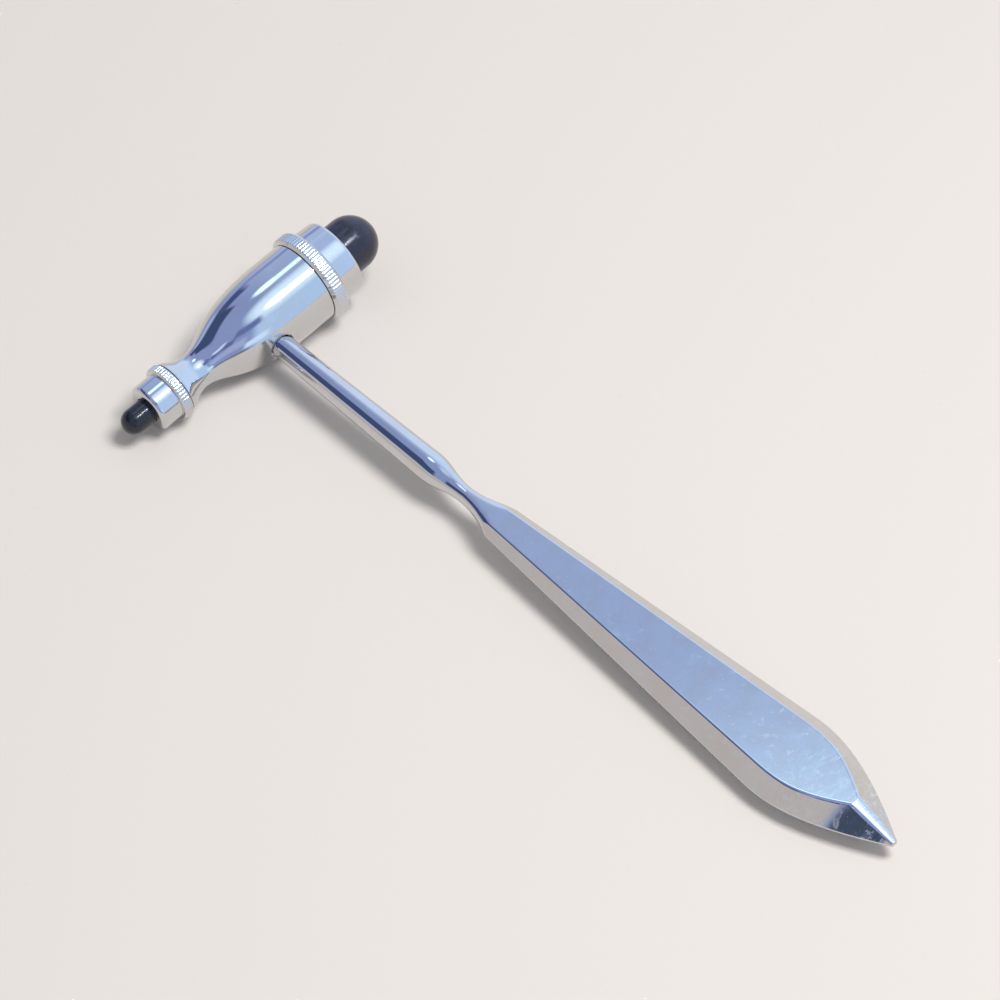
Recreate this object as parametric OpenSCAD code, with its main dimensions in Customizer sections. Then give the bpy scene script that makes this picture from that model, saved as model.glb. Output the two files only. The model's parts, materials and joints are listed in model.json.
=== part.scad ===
// Neurological reflex hammer: a turned, bottle-shaped head with a rubber buffer held
// by a screw collar at each end, and a forged handle screwed into the head's side.
// Millimetres. Each piece is drawn in the hammer's own axes (X along the head towards
// the large end, -Y along the handle, origin where the two axes cross) and then laid
// down the way the hammer rests on a table at z = 0.

/* [Head] */
// Largest diameter of the head's body
body_d = 23.4; // [19.4:0.1:29]
// Narrowest diameter of the head's neck
neck_d = 10.1; // [8:0.1:12.4]
// Handle axis to the shoulder under the large collar
large_shoulder = 17.7; // [14.5:0.1:22]
// Handle axis to the shoulder under the small collar
small_shoulder = 28.1; // [26.5:0.1:34]
// Handle axis to the narrowest point of the neck
neck_at = 21; // [18:0.1:22]
// Handle axis to where the body reaches its largest diameter
body_full_at = 9; // [7:0.1:12]
// Step of the small end's flare below the knurled ring
flare_inset = 0.35; // [0.2:0.05:0.8]

/* [Large collar and buffer] */
// Diameter of the large rubber buffer
large_buffer_d = 15.1; // [12.5:0.1:18.2]
// How far the large buffer stands out of its collar
large_buffer_out = 12.5; // [10.4:0.1:16]
// Width of the rubber flange trapped inside the large collar
large_flange_w = 1.9; // [1.4:0.1:2.4]
// Thickness of that flange
large_flange_t = 2.6; // [2:0.1:3.2]
// Wall of the large collar outside its thread
large_wall = 1.15; // [0.9:0.05:1.6]
// Length of the large collar, from its seam to its front face
large_collar_l = 11.45; // [10.4:0.05:14]
// Length of the knurled ring on the large collar
large_ring_l = 4.5; // [3.7:0.1:5.5]
// Narrowing of the large collar's barrel towards its front, in diameter
large_barrel_taper = 0.8; // [0:0.1:1]
// Thickness of the large collar's front wall
large_lip = 1.6; // [1.2:0.1:2]
// Rounding of the large collar's front edge
large_edge_r = 0.9; // [0.4:0.1:1]
// Thread pitch of the large collar
large_pitch = 1; // [0.75:0.05:1.25]
// Teeth in the large knurl
large_teeth = 80; // [60:1:96]

/* [Small collar and buffer] */
// Diameter of the small rubber buffer
small_buffer_d = 7.1; // [5.9:0.1:8.6]
// How far the small buffer stands out of its collar
small_buffer_out = 8; // [6.6:0.1:10]
// Width of the rubber flange trapped inside the small collar
small_flange_w = 1.3; // [1:0.1:1.6]
// Thickness of that flange
small_flange_t = 2; // [1.6:0.1:2.4]
// Wall of the small collar outside its thread
small_wall = 1.75; // [1.4:0.05:2.2]
// Length of the small collar, from its seam to its front face
small_collar_l = 9.45; // [8.6:0.05:12]
// Length of the knurled ring on the small collar
small_ring_l = 2.9; // [2.4:0.1:3.5]
// Thickness of the small collar's front wall
small_lip = 1.5; // [1.2:0.1:2]
// Rounding of the small collar's shoulder
small_edge_r = 2.3; // [1.5:0.1:2.4]
// Thread pitch of the small collar
small_pitch = 0.75; // [0.6:0.05:1]
// Teeth in the small knurl
small_teeth = 50; // [40:1:60]

/* [Knurls and fits] */
// How far the knurled rings stand proud of what is beside them
ring_proud = 1.2; // [0.9:0.05:1.6]
// Chamfer of the knurled rings' edges
ring_chamfer = 0.9; // [0.5:0.05:1.1]
// Depth of the knurl's grooves
knurl_depth = 0.32; // [0.2:0.02:0.45]
// Radial clearance of the screw threads
thread_clearance = 0.06; // [0.03:0.01:0.09]
// Radial clearance of the rubber in the collars' front holes
buffer_clearance = 0.08; // [0.04:0.01:0.1]
// Open seam between a collar and the shoulder that it screws up to
seam = 0.15; // [0.1:0.05:0.3]
// Gap between a flange and the parts on either side of it
flange_gap = 0.12; // [0.08:0.02:0.2]

/* [Handle stem] */
// Diameter of the stem where it enters the head
stem_d_head = 6.4; // [5.4:0.1:7.6]
// Diameter of the stem at its thick end
stem_d_grip = 8.4; // [7:0.1:10]
// Head axis to the stem's thick end
stem_thick_at = 66.5; // [56:0.5:68]
// Diameter of the waist between stem and grip
waist_d = 4.6; // [4:0.1:5.4]
// Head axis to the waist
waist_at = 80.5; // [79:0.5:96]
// Depth of the socket's flat floor under the head's surface
socket_depth = 1; // [0.9:0.05:1.3]
// Gap round the stem in its socket
socket_gap = 0.5; // [0.3:0.05:0.8]
// Diameter of the handle's screwed end
tang_d = 4.4; // [3.6:0.1:5]
// Length of the handle's screwed end
tang_l = 7; // [5.5:0.1:8]
// Thread pitch of the handle's screwed end
tang_pitch = 0.75; // [0.7:0.05:1]

/* [Handle grip] */
// Head axis to the tip of the handle
handle_l = 232.3; // [190:0.1:280]
// Width of the grip where its flare ends
grip_w_start = 10.7; // [8.8:0.1:12.9]
// Largest width of the grip
grip_w_max = 25.7; // [21.4:0.1:31]
// Thickness of the grip where its flat faces end
grip_t_end = 11.3; // [9.4:0.1:13.6]
// Sideways run of the bevelled sides for each unit of their height
bevel_run = 0.93; // [0.75:0.01:1.05]
// Thickness of the blunt edge round the grip
edge_t = 0.5; // [0.3:0.05:0.8]
// Length of the pointed end, from the widest part to the tip
point_l = 39.3; // [33:0.1:48]
// Length of the narrow facet from the flat face down to the tip
ridge_l = 13.3; // [11:0.1:16]
// Width of that facet where it leaves the flat face
ridge_w = 3; // [2.4:0.1:3.6]
// Width of the tip
tip_w = 1.7; // [1.4:0.1:2.4]
// Thickness of the tip
tip_t = 1.3; // [1:0.1:1.8]

/* [Hidden] */

round_fn = 96;
eps = 0.01;
tooth_crown = 0.04; // rounding of a knurl tooth's top
thread_depth = 0.45; // depth of a screw thread as a share of its pitch
thread_form = [[0.15, 0], [0.5, 1], [0.7, 1], [0.95, 0]]; // one ridge: [share of pitch, share of depth]
thread_end = 0.5; // run of the handle's socket past the screwed end

// Fits, from the rubber outwards at each end
large_bore_r = large_buffer_d / 2 + large_flange_w + flange_gap;
small_bore_r = small_buffer_d / 2 + small_flange_w + flange_gap;
large_thread_r = large_bore_r - thread_clearance;
small_thread_r = small_bore_r - thread_clearance;
large_barrel_r = large_bore_r + large_wall + large_barrel_taper / 2;
small_barrel_r = small_bore_r + small_wall;
body_r = max(body_d / 2, large_thread_r + 2 * eps);
large_ring_r = max(body_r, large_barrel_r) + ring_proud;
small_ring_r = small_barrel_r + ring_proud;
flare_r = small_ring_r - flare_inset;

// Stations outwards along the head from the handle axis
large_front = large_shoulder + seam + large_collar_l;
small_front = small_shoulder + seam + small_collar_l;
large_spigot_end = large_front - large_lip - large_flange_t - 2 * flange_gap;
small_spigot_end = small_front - small_lip - small_flange_t - 2 * flange_gap;

// Points on a cubic curve from a to d with control points b and c
function cubic(a, b, c, d, t) =
    pow(1 - t, 3) * a + 3 * pow(1 - t, 2) * t * b + 3 * (1 - t) * t * t * c + pow(t, 3) * d;
function cubic_run(a, b, c, d, steps) = [for (i = [0:steps]) cubic(a, b, c, d, i / steps)];
function arc(centre, r, from, to, steps) =
    [for (i = [0:steps]) let (a = from + (to - from) * i / steps) centre + r * [cos(a), sin(a)]];

// Head outline as [radius, station], from the small shoulder to the large one
neck_r = neck_d / 2;
flare_l = small_shoulder - neck_at;
rise_l = neck_at + body_full_at;
flare_curve = cubic_run([flare_r, -small_shoulder], [flare_r - 0.4, -small_shoulder + 0.3 * flare_l],
    [neck_r, -neck_at - 0.5 * flare_l], [neck_r, -neck_at], 12);
body_curve = cubic_run([neck_r, -neck_at], [neck_r, -neck_at + 0.216 * rise_l],
    [body_r, body_full_at - 0.711 * rise_l], [body_r, body_full_at], 24);
function swap(points) = [for (p = points) [p[1], p[0]]];
body_r_at_handle = lookup(0, swap(body_curve));
socket_floor = body_r_at_handle - socket_depth;
socket_r = stem_d_head / 2 + socket_gap;

// Ridges of a screw thread, as annular V grooves between crests: [radius, station]
function thread(crest_r, pitch, from, to) =
    let (turns = floor((to - from) / pitch), lead = to - turns * pitch)
    [for (i = [0:turns - 1]) for (k = thread_form)
        [crest_r - (1 - k[1]) * thread_depth * pitch, lead + (i + k[0]) * pitch]];
function mirrored(points) = [for (i = [len(points) - 1:-1:0]) [points[i][0], -points[i][1]]];

module along_head() { rotate([0, 90, 0]) children(); }
module along_head_back() { rotate([0, -90, 0]) children(); }
module turned(points) { rotate_extrude($fn = round_fn) polygon(points); }

// Grip sections: [distance from the head axis, half width, half width of the flat face,
// half thickness]. Straight bevelled sides run to the widest part, the outline then
// curves in to the tip, and the flat face narrows to a ridge that runs down to the tip.
grip_start_at = waist_at + 11.5; // where grip_w_start is measured
flare_end_at = waist_at + 14.5;
grip_t_start = waist_d + 0.04; // the flat faces clear the round waist by a hair
widest_at = handle_l - point_l;
face_end_at = handle_l - ridge_l;
function half_w(s) = grip_w_start / 2
    + (grip_w_max - grip_w_start) / 2 * (s - grip_start_at) / (widest_at - grip_start_at);
function half_t(s) = grip_t_start / 2
    + (grip_t_end - grip_t_start) / 2 * (s - waist_at) / (face_end_at - waist_at);
function face_w(s) = half_w(s) - bevel_run * (half_t(s) - edge_t / 2);
w_slope = (grip_w_max - grip_w_start) / 2 / (widest_at - grip_start_at);
point_outline = cubic_run([widest_at, half_w(widest_at)],
    [widest_at + 0.28 * point_l, half_w(widest_at) + 0.28 * point_l * w_slope],
    [widest_at + 0.585 * point_l, 0.75 * half_w(widest_at)], [handle_l, tip_w / 2], 24);
face_l = face_end_at - widest_at;
face_outline = cubic_run([widest_at, face_w(widest_at)],
    [widest_at + 0.385 * face_l, face_w(widest_at) + 0.02 * face_l],
    [widest_at + 0.577 * face_l, 0.95 * face_w(widest_at)], [face_end_at, ridge_w / 2], 24);
face_stations = [for (i = [1:12]) widest_at + face_l * i / 12];
ridge_stations = [for (i = [1:6]) face_end_at + ridge_l * i / 6];
function ridge_drop(s) = (s - face_end_at) / ridge_l;
tip_facet_w = 0.8 * tip_w; // width of the ridge's facet at the tip
grip_stations = concat(
    [for (s = [flare_end_at, widest_at]) [s, half_w(s), face_w(s), half_t(s)]],
    [for (s = face_stations) [s, lookup(s, point_outline), lookup(s, face_outline), half_t(s)]],
    [for (s = ridge_stations) [s, lookup(s, point_outline),
        ridge_w / 2 + (tip_facet_w - ridge_w) / 2 * ridge_drop(s),
        half_t(face_end_at) + (tip_t / 2 - half_t(face_end_at)) * ridge_drop(s)]]);

// The hammer on a table: the large ring, the grip's lower edge, and either the body's belly or
// the small ring, whichever is lower, touch z = 0
large_rest_at = large_shoulder + seam + ring_chamfer;
small_rest_at = small_shoulder + seam + small_ring_l - ring_chamfer;
rest_roll = min([for (p = concat(body_curve, [[small_ring_r, -small_rest_at]]))
    atan((large_ring_r - p[0]) / (large_rest_at - p[1]))]);
crossing_z = large_ring_r * cos(rest_roll) - large_rest_at * sin(rest_roll);
rest_pitch = min([for (s = grip_stations)
    let (reach = norm([s[0], s[3]]), drop = (crossing_z - s[2] * sin(rest_roll)) / cos(rest_roll))
    asin(drop / reach) - atan2(s[3], s[0])]);
rest_x_max = (large_front + large_buffer_out - large_buffer_d / 2) * cos(rest_roll) + large_buffer_d / 2;
rest_x_min = -(small_front + small_buffer_out - small_buffer_d / 2) * cos(rest_roll) - small_buffer_d / 2;
rest_y_min = -handle_l * cos(rest_pitch) - tip_t / 2 * sin(rest_pitch);
rest_centre = [(rest_x_max + rest_x_min) / 2, (large_ring_r + rest_y_min) / 2];

module as_it_lies() {
    translate([-rest_centre[0], -rest_centre[1], crossing_z])
        rotate([0, -rest_roll, 0])
            rotate([rest_pitch, 0, 0])
                children();
}

// Head body: flared small end, neck, bottle-shaped body and a screwed spigot at each end
module head_body() {
    outline = concat(
        [[0, -small_spigot_end], [small_thread_r - thread_depth * small_pitch, -small_spigot_end]],
        mirrored(thread(small_thread_r, small_pitch, small_shoulder, small_spigot_end)),
        [[small_thread_r - thread_depth * small_pitch, -small_shoulder]],
        flare_curve,
        [for (i = [1:len(body_curve) - 1]) body_curve[i]],
        [[body_r, large_shoulder], [large_thread_r - thread_depth * large_pitch, large_shoulder]],
        thread(large_thread_r, large_pitch, large_shoulder, large_spigot_end),
        [[large_thread_r - thread_depth * large_pitch, large_spigot_end], [0, large_spigot_end]]);
    color([0.80, 0.83, 0.90])
        as_it_lies()
            difference() {
                along_head() turned(outline);
                rotate([90, 0, 0]) {
                    translate([0, 0, socket_floor]) cylinder(h = body_r, r = socket_r, $fn = round_fn);
                    translate([0, 0, socket_floor - tang_l - thread_end])
                        cylinder(h = body_r, r = tang_d / 2 + thread_clearance, $fn = round_fn);
                }
            }
}

// A knurl tooth is [share of the pitch, height over the root] from flank to flank, then its root
module knurl_section(r, teeth) {
    tooth = [[-0.34, knurl_depth], [0, knurl_depth + tooth_crown], [0.34, knurl_depth], [0.5, 0]];
    root_r = r - knurl_depth - tooth_crown;
    polygon([for (i = [0:teeth - 1]) for (k = tooth)
        (root_r + k[1]) * [cos((i + k[0]) * 360 / teeth), sin((i + k[0]) * 360 / teeth)]]);
}
// The teeth are cut on a chamfered blank that is wider than they are by tooth_crown
module knurled_ring(r, length, teeth) {
    end_r = r - ring_chamfer;
    blank_r = r + tooth_crown;
    intersection() {
        linear_extrude(length) knurl_section(r, teeth);
        turned([[0, 0], [end_r, 0], [blank_r, blank_r - end_r],
            [blank_r, length - blank_r + end_r], [end_r, length], [0, length]]);
    }
}
// A screw collar, drawn outwards from its seam: knurled ring, barrel, bore and front hole
module collar(ring_r, ring_l, teeth, barrel_r, taper, length, edge_r, bore_r, lip, hole_r) {
    front_r = barrel_r - taper / 2;
    difference() {
        union() {
            knurled_ring(ring_r, ring_l, teeth);
            turned(concat([[0, 0], [barrel_r - taper / 2, 0], [barrel_r, ring_l]],
                arc([front_r - edge_r, length - edge_r], edge_r, 0, 90, 10), [[0, length]]));
        }
        translate([0, 0, -1]) cylinder(h = length - lip + 1, r = bore_r, $fn = round_fn);
        translate([0, 0, -1]) cylinder(h = length + 2, r = hole_r, $fn = round_fn);
    }
}

module large_collar() {
    color([0.84, 0.87, 0.93])
        as_it_lies()
            along_head()
                translate([0, 0, large_shoulder + seam])
                    collar(large_ring_r, large_ring_l, large_teeth, large_barrel_r, large_barrel_taper,
                        large_collar_l, large_edge_r, large_bore_r, large_lip,
                        large_buffer_d / 2 + buffer_clearance);
}

module small_collar() {
    color([0.84, 0.87, 0.93])
        as_it_lies()
            along_head_back()
                translate([0, 0, small_shoulder + seam])
                    collar(small_ring_r, small_ring_l, small_teeth, small_barrel_r, 0,
                        small_collar_l, small_edge_r, small_bore_r, small_lip,
                        small_buffer_d / 2 + buffer_clearance);
}

// A rubber buffer: trapped flange, round shank and domed end, from its back outwards. The
// dome's ball is cut off at the collar's front face, inside the shank.
module buffer(d, flange_r, flange_t, back, front, out) {
    dome_at = front + out - d / 2;
    translate([0, 0, back]) cylinder(h = flange_t, r = flange_r, $fn = round_fn);
    translate([0, 0, back]) cylinder(h = dome_at - back, r = d / 2, $fn = round_fn);
    intersection() {
        translate([0, 0, dome_at]) sphere(r = d / 2, $fn = round_fn);
        translate([0, 0, front]) cylinder(h = 2 * out, r = d, $fn = round_fn);
    }
}

module large_buffer() {
    color([0.04, 0.04, 0.07])
        as_it_lies()
            along_head()
                buffer(large_buffer_d, large_buffer_d / 2 + large_flange_w, large_flange_t,
                    large_spigot_end + flange_gap, large_front, large_buffer_out);
}

module small_buffer() {
    color([0.03, 0.03, 0.06])
        as_it_lies()
            along_head_back()
                buffer(small_buffer_d, small_buffer_d / 2 + small_flange_w, small_flange_t,
                    small_spigot_end + flange_gap, small_front, small_buffer_out);
}

// Corners of a grip section: flat faces, bevels and blunt edges
function grip_corners(w, f, t) =
    let (e = min(edge_t / 2, 0.8 * t))
    [[f, t], [-f, t], [-w, e], [-w, -e], [-f, -t], [f, -t], [w, -e], [w, e]];
blade_rings = [for (g = grip_stations) [g[0], grip_corners(g[1], g[2], g[3])]];

// The flare: from the round waist the section swells to a rounded box inside the grip's own
face_steps = 6;
bevel_steps = 5;
side_steps = [face_steps, bevel_steps, 1, bevel_steps, face_steps, bevel_steps, 1, bevel_steps];
function side(a, b, steps) = [for (i = [0:steps - 1]) a + (b - a) * i / steps];
function divided(corners) = [for (k = [0:7]) each side(corners[k], corners[(k + 1) % 8], side_steps[k])];
// At a distance d past the waist the swelling is a superellipse, round at the waist
widening = 0.0205; // growth of its half width over d squared
thickening = 0.0034; // growth of its half thickness over d squared
squared_over = 7; // distance in which its power rises from 2 to 3
inside_stem = 0.985; // the first ring stays inside the stem's round end
function flare_half_w(d) = waist_d / 2 + widening * d * d;
function flare_half_t(d) = waist_d / 2 + thickening * d * d;
function flare_power(d) = 2 + min(1, d / squared_over);
function held_in(p, d) =
    let (n = flare_power(d),
        over = pow(pow(abs(p[0]) / flare_half_w(d), n) + pow(abs(p[1]) / flare_half_t(d), n), 1 / n))
    p / max(1, over);
flare_steps = 14;
function flare_point(p, d, i) =
    i == 0 ? held_in(p, d) * inside_stem : i == flare_steps ? p : held_in(p, d);
flare_rings = [for (i = [0:flare_steps])
    let (d = (flare_end_at - waist_at) * i / flare_steps, s = waist_at + d)
    [s, [for (p = divided(grip_corners(half_w(s), face_w(s), half_t(s)))) flare_point(p, d, i)]]];

// A closed skin through rings of [distance from the head axis, points across]
module skin(rings) {
    count = len(rings);
    sides = len(rings[0][1]);
    points = [for (ring = rings) for (p = ring[1]) [p[0], -ring[0], p[1]]];
    walls = [for (k = [0:count - 2]) for (i = [0:sides - 1])
        let (j = (i + 1) % sides, a = k * sides, b = a + sides)
        each [[a + i, b + i, b + j], [a + i, b + j, a + j]]];
    polyhedron(points, concat([[for (i = [0:sides - 1]) i]], walls,
        [[for (i = [sides - 1:-1:0]) (count - 1) * sides + i]]));
}

// Stem outline as [radius, distance from the head axis], from the screwed end to the waist
module stem() {
    root_r = tang_d / 2 - thread_depth * tang_pitch;
    end_round = 0.5;
    stem_r = stem_d_head / 2;
    turned(concat(
        [[0, socket_floor - tang_l], [root_r, socket_floor - tang_l]],
        thread(tang_d / 2, tang_pitch, socket_floor - tang_l, socket_floor - 1),
        [[root_r, socket_floor]],
        arc([stem_r - end_round, socket_floor + end_round], end_round, -90, 0, 6),
        cubic_run([stem_d_grip / 2, stem_thick_at],
            [stem_d_grip / 2 + 0.1, stem_thick_at + 0.4 * (waist_at - stem_thick_at)],
            [waist_d / 2, stem_thick_at + 0.54 * (waist_at - stem_thick_at)], [waist_d / 2, waist_at], 20),
        [[0, waist_at]]));
}

// Handle: screwed end, round tapering stem, waist and flat bevelled grip in one piece
module handle() {
    color([0.76, 0.79, 0.88])
        as_it_lies()
            union() {
                rotate([90, 0, 0]) stem();
                skin(flare_rings);
                skin(blade_rings);
            }
}

head_body();
handle();
large_collar();
small_collar();
large_buffer();
small_buffer();
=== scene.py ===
"""A chrome-plated neurological reflex hammer lying on a pale table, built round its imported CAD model."""
import json
import math

import bmesh
import bpy
import numpy as np
from mathutils import Matrix, Vector


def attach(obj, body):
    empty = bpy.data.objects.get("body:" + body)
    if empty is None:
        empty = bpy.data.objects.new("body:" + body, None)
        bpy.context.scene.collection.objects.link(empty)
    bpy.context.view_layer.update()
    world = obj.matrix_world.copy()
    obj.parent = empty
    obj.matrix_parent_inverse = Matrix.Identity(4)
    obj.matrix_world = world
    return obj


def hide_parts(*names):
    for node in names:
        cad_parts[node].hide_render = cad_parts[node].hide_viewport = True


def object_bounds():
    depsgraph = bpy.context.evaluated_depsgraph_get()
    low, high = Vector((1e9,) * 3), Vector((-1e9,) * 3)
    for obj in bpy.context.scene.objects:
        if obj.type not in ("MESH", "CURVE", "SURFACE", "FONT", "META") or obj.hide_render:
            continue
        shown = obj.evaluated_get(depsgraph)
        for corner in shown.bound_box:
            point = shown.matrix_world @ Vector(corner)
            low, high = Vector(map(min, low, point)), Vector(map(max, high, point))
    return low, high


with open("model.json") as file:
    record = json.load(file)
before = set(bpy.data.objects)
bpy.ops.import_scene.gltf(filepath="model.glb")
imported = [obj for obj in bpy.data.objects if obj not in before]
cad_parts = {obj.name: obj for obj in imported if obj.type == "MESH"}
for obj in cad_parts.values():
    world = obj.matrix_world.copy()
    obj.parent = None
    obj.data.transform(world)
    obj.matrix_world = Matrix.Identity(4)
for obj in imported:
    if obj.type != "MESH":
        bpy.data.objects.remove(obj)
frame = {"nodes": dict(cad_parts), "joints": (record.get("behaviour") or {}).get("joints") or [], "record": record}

cad_box = [list(corner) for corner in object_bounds()]

# ---------------------------------------------------------------- the hammer's own axes
# Shapes below are in millimetres: "along" the head to its large end, "out" along the
# handle to its tip and "up" from the crossing of the two axes. place() puts them in the frame.
MM = 0.001
joints = {joint["name"]: joint for joint in frame["joints"]}
mounts = {mount["name"]: mount for mount in frame["record"]["mounts"]}
CROSSING = np.array(joints["large_collar_turn"]["pos_m"])
LARGE_END = np.array(joints["large_collar_turn"]["axis"])
GRIP_END = np.array(mounts["stem_clip"]["axis"])
UPPER = np.cross(GRIP_END, LARGE_END)


def place(along, out, up):
    """Points given in the hammer's own axes, as an array of positions in the frame."""
    along, out, up = np.broadcast_arrays(along, out, up)
    return (CROSSING + MM * (along[..., None] * LARGE_END + out[..., None] * GRIP_END
                             + up[..., None] * UPPER))


def reach(node, direction):
    """How far a CAD node reaches from the crossing of the axes in a direction, in millimetres."""
    points = np.array([vertex.co for vertex in frame["nodes"][node].data.vertices])
    return float(((points - CROSSING) @ direction).max()) / MM


# ---------------------------------------------------------------- sizes, in millimetres
SEAM = 0.1               # open seam between a collar and the shoulder that it screws up to
THREAD_CLEARANCE = 0.06  # radial clearance of the screw threads
THREAD_DEPTH = 0.45      # depth of a thread as a share of its pitch
THREAD_FLAT = 0.15       # flat of a thread's crest and of its root, as a share of half its pitch
KNURL_DEPTH = 0.32
TOOTH_CROWN = 0.04       # rounding of a knurl tooth's top
TOOTH_BLEND = 0.05       # rounding between a tooth's top and its flanks
FINE_EDGE = 0.12         # rounding that polishing leaves on a sharp edge


def end_sizes(name, direction, **sizes):
    """The sizes of one end of the head, with its stations outwards from the handle's axis."""
    collar, buffer = name + "_collar", name + "_buffer"
    sizes.update(
        seam=-reach(collar, -direction), front=reach(collar, direction),
        ring_r=reach(collar, UPPER), tip=reach(buffer, direction),
        flange_back=-reach(buffer, -direction), spigot_end=reach("head_body", direction))
    sizes["shoulder"] = sizes["seam"] - SEAM
    sizes["thread_r"] = sizes["bore_r"] - THREAD_CLEARANCE
    return sizes


LARGE = end_sizes(
    "large", LARGE_END, bore_r=9.57, pitch=1.0, ring_l=4.5, teeth=80, chamfer=0.8, barrel_r=11.12,
    taper=0.4, edge_r=0.9, lip=1.6, hole_r=7.63, buffer_r=7.55, flange_r=9.45, flange_t=2.6)
SMALL = end_sizes(
    "small", -LARGE_END, bore_r=4.97, pitch=0.75, ring_l=2.9, teeth=50, chamfer=0.45, barrel_r=6.72,
    taper=0.0, edge_r=2.3, lip=1.5, hole_r=3.63, buffer_r=3.55, flange_r=4.85, flange_t=2.0)

BODY_R = 11.7            # largest radius of the head's body
NECK_R = 5.05
NECK_AT = 21.0           # handle axis to the neck
BODY_FULL_AT = 9.0       # handle axis to where the body reaches its largest radius
FLARE_R = SMALL["ring_r"] - 0.35  # just inside the small collar's ring
SOCKET_R = 3.55
SOCKET_FLOOR = 10.226    # head axis to the floor of the handle's socket
STEM_R_HEAD = 3.2
STEM_R_GRIP = 4.2
STEM_THICK_AT = 66.5     # head axis to the stem's thick end
WAIST_R = 2.3
WAIST_AT = 80.5
TANG_R = 2.2             # the handle's screwed end
TANG_L = 7.0
TANG_PITCH = 0.75
TIP_AT = reach("handle", GRIP_END)


# ---------------------------------------------------------------- curves
def cubic(a, b, c, d, steps):
    """Points on a cubic curve from a to d, with control points b and c."""
    t = np.linspace(0, 1, steps + 1)[:, None]
    a, b, c, d = (np.array(point, float) for point in (a, b, c, d))
    return (1 - t) ** 3 * a + 3 * (1 - t) ** 2 * t * b + 3 * (1 - t) * t * t * c + t ** 3 * d


def smooth(t):
    """From 0 to 1 with level ends."""
    t = np.clip(t, 0, 1)
    return t * t * (3 - 2 * t)


def rounded(corners, steps=6):
    """A path through corners of (x, y, rounding), each rounded by an arc with a point set close
    on either side, so that the flat stretches between them shade flat."""
    most, beside = 0.42, 0.3  # the arc's share of a stretch, and the point beside it as a share of that
    path = []
    for k, (x, y, radius) in enumerate(corners):
        here = np.array([x, y])
        if radius == 0 or k in (0, len(corners) - 1):
            path.append(here)
            continue
        before, after = (np.array(corners[i][:2]) - here for i in (k - 1, k + 1))
        room = most * min(np.linalg.norm(before), np.linalg.norm(after))
        u, v = before / np.linalg.norm(before), after / np.linalg.norm(after)
        half = math.acos(max(-1, min(1, float(u @ v)))) / 2
        reach_back = min(radius / math.tan(half), room)
        radius = reach_back * math.tan(half)
        centre = here + (u + v) / np.linalg.norm(u + v) * radius / math.sin(half)
        first, last = here + u * reach_back - centre, here + v * reach_back - centre
        turn = math.acos(max(-1, min(1, float(first @ last) / radius ** 2)))
        path.append(centre + first + u * beside * reach_back)
        for i in range(steps + 1):
            a = turn * i / steps
            path.append(centre + (math.sin(turn - a) * first + math.sin(a) * last) / math.sin(turn))
        path.append(centre + last + v * beside * reach_back)
    return np.array(path)


def divided(path, longest):
    """The path with more points, so that no stretch is longer than longest."""
    points = [path[0]]
    for a, b in zip(path[:-1], path[1:]):
        count = max(1, math.ceil(np.linalg.norm(b - a) / longest))
        points += [a + (b - a) * i / count for i in range(1, count + 1)]
    return np.array(points)


# ---------------------------------------------------------------- meshes
def add_piece(name, points, faces, node, body, material):
    """A smooth, closed piece with outward normals that stands for a CAD node."""
    mesh = bpy.data.meshes.new(name)
    mesh.from_pydata([tuple(p) for p in points], [], faces)
    mesh.validate()
    piece = bpy.data.objects.new(name, mesh)
    bpy.context.scene.collection.objects.link(piece)
    clean(mesh)
    mesh.polygons.foreach_set("use_smooth", [True] * len(mesh.polygons))
    mesh.materials.append(material)
    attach(piece, body)
    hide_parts(node)
    return piece


def clean(mesh):
    """Take away the points that no face uses, and turn every face outwards."""
    work = bmesh.new()
    work.from_mesh(mesh)
    bmesh.ops.delete(work, geom=[v for v in work.verts if not v.link_faces], context="VERTS")
    bmesh.ops.recalc_face_normals(work, faces=work.faces)
    work.to_mesh(mesh)
    work.free()


def wall(rows, around, loop=False, skip=lambda row, column: False):
    """Quads between rows of points that run round an axis; a loop joins the last row to the first."""
    faces = []
    for i in range(rows if loop else rows - 1):
        a, b = i * around, (i + 1) % rows * around
        for j in range(around):
            k = (j + 1) % around
            if not skip(i, j):
                faces.append((a + j, a + k, b + k, b + j))
    return faces


def fan(ring, centre):
    """Triangles from a ring of points to its centre."""
    return [(ring[j], ring[(j + 1) % len(ring)], centre) for j in range(len(ring))]


def ring_angles(count):
    """Angles round the head's axis, with the handle's side in the middle."""
    return 2 * math.pi * np.arange(count) / count - math.pi


def spin(radii, stations, side, angles):
    """Rows of points round the head's axis. Each row has a radius and a station, or one for each
    angle; side is 1 for the large end and -1 for the small one."""
    rows = [np.broadcast_arrays(r, s, angles)[:2] for r, s in zip(radii, stations)]
    r, s = (np.array([row[i] for row in rows], float) for i in (0, 1))
    return place(side * s, r * np.cos(angles), r * np.sin(angles)).reshape(-1, 3)


def helix_groove(angle, station, pitch):
    """Depth of a screw thread's groove, from 0 at the crest to 1 at the root."""
    phase = (station / pitch - angle / (2 * math.pi)) % 1
    return np.clip((1 - np.abs(2 * phase - 1) - THREAD_FLAT) / (1 - 2 * THREAD_FLAT), 0, 1)


def thread_rows(crest_r, pitch, start, end, angles, turns_per_row=0.1):
    """A screwed stretch with an undercut at its start and a chamfer at its end."""
    depth = THREAD_DEPTH * pitch
    stations = np.linspace(start, end, round((end - start) / pitch / turns_per_row) + 1)
    radii = []
    for station in stations:
        envelope = crest_r - depth + min(max(station - start - 0.4 * pitch, 0), end - station + 0.05, depth)
        radii.append(np.minimum(crest_r - depth * helix_groove(angles, station, pitch), envelope))
    return radii, list(stations)


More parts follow.
